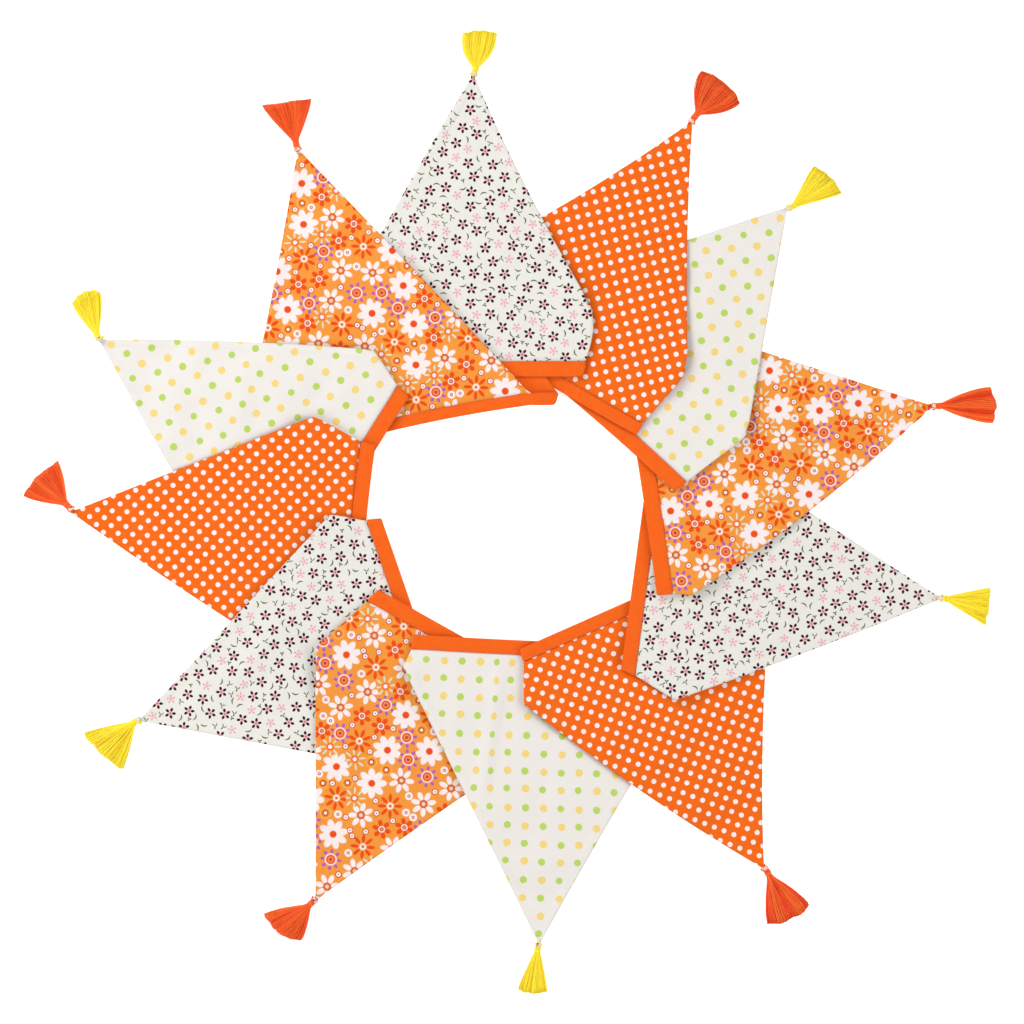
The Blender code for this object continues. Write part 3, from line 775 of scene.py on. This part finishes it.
# Bias tape is cut at 45 degrees to its threads.
threads = (((across + run) * (math.tau / THREAD / 1.41)).math("SINE")
           * ((across - run) * (math.tau / THREAD / 1.41)).math("SINE"))
slubs, puckers = lay.noise(0.5, 4.0), lay.noise(0.14)
tape_colour = (slubs * 0.5 + puckers * 0.5).colours(dyed("#f4581a"), dyed("#ff7a2a"))
colour_in(shader, (threads * 0.25 + 0.25).colours(tape_colour, dyed("#ff6c22")))
relief(shader, threads * 0.2 + slubs * 0.4 + puckers * 0.6, 0.35 * MM, 0.5)


def bent(top, bottom, outward, side):
    """Points and normals round a fold, from its upper layer to its lower one."""
    middle, radius = (top + bottom) / 2, (top - bottom).z / 2
    for step in range(BEND_STEPS + 1):
        angle = math.pi * step / BEND_STEPS
        spoke = outward.to_3d() * math.sin(angle) + UP * math.cos(angle)
        yield middle + spoke * radius, spoke * side


def slanted(outer, along, crossing, width):
    """The strip's inner edge point on a fold line that starts at its outer edge point."""
    return outer - crossing * width / crossing.dot(beside(along))


def raised(point, index, folded_under=0.0):
    height = underside(point, index, folded_under) + SOLID_CLOTH / 2
    return Vector((point.x, point.y, height))


tape = []                    # outer edge, inner edge and the normals at both, along the tape


def flat_tape(outer, inner, index, folded_under):
    normal = UP * (-1.0 if folded_under else 1.0)
    tape.append((raised(outer, index, folded_under), raised(inner, index, folded_under), normal, normal))


def folded_tape(outer, inner, outward, upper, lower, side, softness=0.05):
    outside = bent(raised(outer, *upper), raised(outer, *lower), outward, side)
    inside = bent(raised(inner, *upper), raised(inner, *lower), outward, side)
    for n, ((outer_point, outer_normal), (inner_point, inner_normal)) in enumerate(zip(outside, inside)):
        narrowed = softness * math.sin(math.pi * n / BEND_STEPS) ** 2
        tape.append((outer_point.lerp(inner_point, narrowed), inner_point.lerp(outer_point, narrowed),
                     outer_normal, inner_normal))


runs = []
for row in PENNANTS:
    width = row.tape * PHOTO_SCALE
    edge = bowed(place(row.corner), place(row.fold), row.base * PHOTO_SCALE, TAPE_STEPS)
    start_way, end_way = (edge[1] - edge[0]).normalized(), (edge[-1] - edge[-2]).normalized()
    inward = [-beside(edge[min(n + 1, TAPE_STEPS)] - edge[max(n - 1, 0)]) for n in range(len(edge))]
    outer = [point + side * SEAM_GAP for point, side in zip(edge, inward)]
    inner = [point + side * (SEAM_GAP + width) for point, side in zip(edge, inward)]
    outer[-1] -= end_way * (FOLD_INSET if row.tucked else 0.0)
    runs.append((outer, inner, start_way, end_way, width))

last = len(PENNANTS) - 1
outer, inner, start_way, _, _ = runs[0]
for part in (1.0, 0.5):
    flat_tape(outer[0] - start_way * TAIL_HIDDEN * part, inner[0] - start_way * TAIL_HIDDEN * part, 0, 0.0)
for index in range(len(PENNANTS)):
    outer, inner, _, end_way, width = runs[index]
    for n in range(0 if index == 0 else 1, TAPE_STEPS):
        flat_tape(outer[n], inner[n], index, 0.0)
    if index < last:
        next_outer, _, next_way, _, next_width = runs[index + 1]
        back = (next_outer[0] - outer[-1]).normalized()
        turn = (end_way - back).normalized()
        near = slanted(outer[-1], end_way, beside(turn), width)
        folded_tape(outer[-1], near, turn, (index, 0.0), (index, 1.0), 1.0)
        far_turn = (back - next_way).normalized()
        far = slanted(next_outer[0], next_way, beside(far_turn), next_width)
        for n in range(1, UNDER_STEPS):
            part = n / UNDER_STEPS
            flat_tape(outer[-1].lerp(next_outer[0], part), near.lerp(far, part), index, 1.0)
        folded_tape(next_outer[0], far, far_turn, (index, 1.0), (index + 1, 0.0), -1.0)
outer, inner, _, _, _ = runs[last]
flat_tape(outer[-1], inner[-1], last, 0.0)
turned = place(END_FOLD)
away = (turned - outer[-1]).normalized()
half_way = outer[-1].lerp(turned, 0.5)
flat_tape(half_way, half_way - beside(away) * END_TAPE * PHOTO_SCALE, last + 0.5, 0.0)
lean = Vector((math.cos(END_LEAN), math.sin(END_LEAN)))
near = slanted(turned, away, beside(lean), END_TAPE * PHOTO_SCALE)
back = away - 2.0 * away.dot(lean) * lean
folded_tape(turned, near, lean, (last + 1, 0.0), (last + 1, 1.0), 1.0, softness=0.2)
for part in (0.15, 0.33, 0.66, 1.0):
    reach = back * TAIL_FOLDED * part
    opened = (turned - near).normalized() * eased(part, 0.0, 0.35) * PHOTO_SCALE
    flat_tape(turned + reach + opened * TAIL_OPENS[0], near + reach - opened * TAIL_OPENS[1], last + 1, 1.0)

# The tape's section: the upper leaf from its mouth to the lengthwise fold, and the lower leaf back
LEAF_PLACES = (0.0, 0.06, 0.12, 0.2, 0.34, 0.5, 0.66, 0.8, 0.9)
FOLD_ROUND = 5
points, prints = [], []
travelled = 0.0
for n, (outer, inner, outer_normal, inner_normal) in enumerate(tape):
    if n:
        travelled += ((outer + inner) / 2 - (tape[n - 1][0] + tape[n - 1][1]) / 2).length
    width = (inner - outer).length
    reach = width - LEAF_HEIGHT - MOUTH
    section = [(MOUTH + reach * part, 1.0) for part in LEAF_PLACES]
    section += [(width - LEAF_HEIGHT + LEAF_HEIGHT * math.sin(math.pi * k / FOLD_ROUND),
                 math.cos(math.pi * k / FOLD_ROUND)) for k in range(FOLD_ROUND + 1)]
    section += [(MOUTH + reach * part, -1.0) for part in reversed(LEAF_PLACES)]
    for k, (spot, level) in enumerate(section):
        part = spot / width
        normal = outer_normal.lerp(inner_normal, min(max(part, 0.0), 1.0)).normalized()
        drawn_in = 0.08 * MM * math.exp(-((spot - MOUTH - SEAM) / (0.7 * MM)) ** 2)
        height = (LEAF_HEIGHT - drawn_in) * level
        points.append(outer.lerp(inner, part) + normal * height)
        prints.append((spot * level + k * 0.01 * MM, travelled))
faces = woven(len(tape), len(section))
binding = new_piece("binding_tape", points, faces, tape_finish)
lay_print(binding, prints)
applied(binding, "SOLIDIFY", thickness=LEAF, offset=0.0)
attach(binding, "root")
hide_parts("binding_01", "binding_02")
tape_width = 2 * (sum(row.tape for row in PENNANTS) / len(PENNANTS) * PHOTO_SCALE - MOUTH)


# The stitching: one line of small stitches along the tape, close to the edges of its two leaves.
# The thread is as orange as the tape, and each stitch sinks a little into it.
STITCH = 2.3 * MM
STITCH_PITCH = 2.9 * MM
THREAD_HALF = 0.14 * MM
STITCH_RINGS = ((-0.5, 0.35), (-0.3, 1.0), (0.3, 1.0), (0.5, 0.35))
stitch_finish, shader, tree = finish("orange thread", 0.5, sheen=0.2, specular=0.4)
lay = places_of(tree)
twist = lay.node("ShaderNodeTexWave", {"bands_direction": "DIAGONAL"}, {"Vector": lay, "Scale": 900.0})
colour_in(shader, twist.colours(dyed("#f04c10"), dyed("#ff7a30")))
relief(shader, twist, 0.05 * MM)
corners, faces = [], []
for side in (1.0, -1.0):
    gone, due = 0.0, STITCH_PITCH
    for (outer, inner, normal, _), (next_outer, _, next_normal, _) in zip(tape, tape[1:]):
        way = next_outer - outer
        while way.length and gone + way.length >= due and abs(normal.z) > 0.99 and abs(next_normal.z) > 0.99:
            if normal.z * next_normal.z > 0.0:
                inwards = (inner - outer).normalized()
                seam = outer + way * ((due - gone) / way.length) + inwards * (MOUTH + SEAM)
                seam += normal * side * (LEAF_HEIGHT + LEAF / 2 - 0.02 * MM)
                line, across = way.normalized(), way.cross(normal).normalized()
                first = len(corners)
                for part, fullness in STITCH_RINGS:
                    middle = seam + line * STITCH * part - normal * side * (1.0 - fullness) * THREAD_HALF
                    for a, b in ((1, 0), (0, 1), (-1, 0), (0, -1)):
                        corners.append(middle + (across * a + normal * b) * THREAD_HALF * fullness)
                for ring in range(3):
                    for k in range(4):
                        a, b = first + ring * 4 + k, first + ring * 4 + (k + 1) % 4
                        faces.append((a, a + 4, b + 4, b))
                faces.append((first, first + 1, first + 2, first + 3))
                faces.append((first + 15, first + 14, first + 13, first + 12))
            due += STITCH_PITCH
        gone += way.length
        due = max(due, gone)
stitches = new_piece("binding_stitches", corners, faces, stitch_finish)
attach(stitches, "root")


# The tassels: a bundle of silky yarn, looped round the pennant's tip, wound with the same yarn
# and cut off evenly. Yellow ones hang on the pale cottons, orange-red ones on the orange ones.
# A narrow strip of cotton, which is a guess at the pale patch on each neck, ties yarn and tip.
STRANDS = 200
STRAND_STEPS = 9
END_STEPS = 60               # stretches along the bundle's cut end
STRAND_HALF = 0.26 * MM
NECK_WIDTH = 4.0 * MM
NECK_HEIGHT = 3.0 * MM
FAN_HEIGHT = 1.7 * MM
SCALLOP = 0.7 * MM           # how far the locks' ends stand in front of each other
KNOT_MIDDLE = 2.0 * MM       # height of the neck's middle over the table
WRAPS = 5
LOOPS = 9
CORD_HALF = 0.42 * MM        # half the thickness of the yarn in the winding and the loop
TIE_TURNS = 4                # turns of the narrow cloth strip that ties the yarn's loop to the tip
TIE_HALF = 0.24 * MM
STRANDS_SHADE = 0.88         # how much of the light the strands leave each other
YARNS = {
    "yellow": ("yellow_yarn", "#f8d022", "#fff44c"),
    "orange": ("orange_yarn", "#e82f02", "#ff8038"),
}
yarns = {}
for colour, (slot, deep, bright) in YARNS.items():
    made, shader, tree = finish(f"{colour} yarn", 0.5, sheen=0.02, specular=0.25)
    own = Dye(tree, tree.nodes.new("ShaderNodeAttribute").outputs["Fac"])
    own.socket.node.attribute_name = "strand_tone"
    fibres = places_of(tree).noise(700.0)
    deep, bright = dyed(deep, STRANDS_SHADE), dyed(bright, STRANDS_SHADE)
    colour_in(shader, (own * 0.8 + fibres * 0.2).colours(deep, bright))
    relief(shader, fibres, 0.08 * MM, 0.6)
    yarns[colour] = (slot, made)


tie_cloth, shader, tree = finish("sprig cotton tie", 0.8, sheen=0.1, specular=0.2)
lay = places_of(tree)
specks = lay.noise(420.0)
shades = [(0.30, dyed("#efcdbd")), (0.50, dyed("#fff2ea")), (0.60, dyed("#fff2ea")), (0.64, dyed("#7c3048"))]
colour_in(shader, lay.node("ShaderNodeValToRGB", {"blend": "LINEAR", "stops": shades}, {"Fac": specks}))
relief(shader, lay.noise(900.0), 0.06 * MM)
tie_corners, tie_faces = [], []


def tube(corners, faces, line, half, tones, tone):
    """Adds a four-sided strand along a line of points, closed at both ends."""
    first = len(corners)
    for n, point in enumerate(line):
        way = (line[min(n + 1, len(line) - 1)] - line[max(n - 1, 0)]).normalized()
        side = way.cross(UP).normalized()
        top = side.cross(way)
        for a, b in ((1, 0), (0, 1), (-1, 0), (0, -1)):
            corners.append(point + (side * a + top * b) * half)
            tones.append(tone)
    for n in range(len(line) - 1):
        for k in range(4):
            a, b = first + n * 4 + k, first + n * 4 + (k + 1) % 4
            faces.append((a, b, b + 4, a + 4))
    end = len(corners)
    faces.append((first + 3, first + 2, first + 1, first))
    faces.append((end - 4, end - 3, end - 2, end - 1))


def hoop(at, sideways, above, below, steps):
    """A ring of points round one place, from its half width and its reach above and below."""
    for step in range(steps + 1):
        angle = math.tau * step / steps
        reach = above if math.sin(angle) > 0.0 else below
        yield at + sideways * math.cos(angle) + UP * math.sin(angle) * reach


for index, row in enumerate(TASSELS):
    draw = random.Random(500 + index)
    knot, left, right = place(row.knot), place(row.left), place(row.right)
    axis = ((left + right) / 2 - knot).normalized()
    across = -beside(axis)
    ends = bowed(left, right, row.bulge * PHOTO_SCALE, END_STEPS)
    corners, faces, tones = [], [], []
    locks = [(draw.uniform(9.0, 26.0), draw.uniform(0.0, math.tau)) for _ in range(3)]
    for n in range(STRANDS):
        where = (n + draw.uniform(0.0, 1.0)) / STRANDS
        level = draw.uniform(0.0, 1.0)
        lock = sum(math.sin(where * rate + start) for rate, start in locks) / 3
        nearest = min(int(where * END_STEPS), END_STEPS - 1)
        end = ends[nearest].lerp(ends[nearest + 1], where * END_STEPS % 1)
        end = end - axis * (draw.uniform(0.0, 1.0) ** 4 * 1.5 * MM + SCALLOP * (0.5 - lock))
        aside = (2.0 * where - 1.0) * 0.9
        rounded = math.sqrt(1.0 - aside * aside)
        root = knot + across * aside * NECK_WIDTH / 2 * 0.8
        root_height = KNOT_MIDDLE + (level - 0.5) * NECK_HEIGHT * 0.75 * rounded
        end_height = STRAND_HALF + level * FAN_HEIGHT * (0.45 + 0.5 * rounded)
        line = []
        for step in range(STRAND_STEPS + 1):
            part = step / STRAND_STEPS
            opened = max((part - row.narrow) / (1.0 - row.narrow), 0.0)
            spread = 1.0 - (1.0 - opened) ** row.early
            forward = part * (end - knot).dot(axis)
            sideways = (root - knot).dot(across) + ((end - root).dot(across)) * spread
            sideways += draw.uniform(-0.16, 0.16) * MM * part
            plan = knot + axis * forward + across * sideways
            height = root_height + (end_height - root_height) * eased(part, 0.1, 0.75)
            height += draw.uniform(-0.1, 0.1) * MM
            line.append(Vector((plan.x, plan.y, max(height, STRAND_HALF))))
        tube(corners, faces, line, STRAND_HALF, tones, 0.5 + 0.35 * lock + draw.uniform(-0.15, 0.15))

    # The winding round the neck, and the loop that goes over the pennant's twisted tip
    centre = Vector((knot.x, knot.y, KNOT_MIDDLE))
    for n in range(WRAPS):
        at = centre + axis.to_3d() * (1.2 + 0.62 * n) * MM
        tilt = axis.to_3d() * draw.uniform(-0.25, 0.25) * MM
        half_width = across.to_3d() * NECK_WIDTH / 2 + tilt
        ring = list(hoop(at, half_width, NECK_HEIGHT / 2, NECK_HEIGHT / 2, 16))
        tube(corners, faces, ring, CORD_HALF, tones, draw.uniform(0.3, 0.9))
    heading = knot_direction(index)
    for n in range(LOOPS):
        sway = 2.0 * n / (LOOPS - 1) - 1.0
        start = centre + axis.to_3d() * 1.4 * MM + across.to_3d() * sway * 1.3 * MM
        loop = []
        for step in range(11):
            angle = math.pi * step / 10
            over = start - heading.to_3d() * math.sin(angle) * (4.2 - 0.8 * abs(sway)) * MM
            loop.append(over + UP * math.cos(angle) * 1.6 * MM
                        - beside(heading).to_3d() * math.sin(angle) * sway * 1.1 * MM)
        tube(corners, faces, loop, CORD_HALF, tones, draw.uniform(0.2, 1.0))

    # The narrow strip of sprig cotton that ties them together, in turns side by side on the loop
    for n in range(TIE_TURNS):
        at = centre - heading.to_3d() * (1.7 - 0.5 * n) * MM
        half_width = (beside(heading) * 2.2 + heading * 0.6).to_3d() * MM
        ring = list(hoop(at, half_width, 2.3 * MM, 1.7 * MM, 12))
        tube(tie_corners, tie_faces, ring, TIE_HALF, [], 0.0)

    node = f"tassel_{index + 1:02d}"
    slot, yarn = yarns["yellow" if PENNANTS[index].cloth in ("sprig", "dot") else "orange"]
    piece = new_piece(f"yarn_{node}", corners, faces, yarn)
    tone = piece.data.attributes.new("strand_tone", "FLOAT", "POINT")
    tone.data.foreach_set("value", tones)
    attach(piece, "root")
    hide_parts(node)
ties = new_piece("tassel_ties", tie_corners, tie_faces, tie_cloth)
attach(ties, "root")
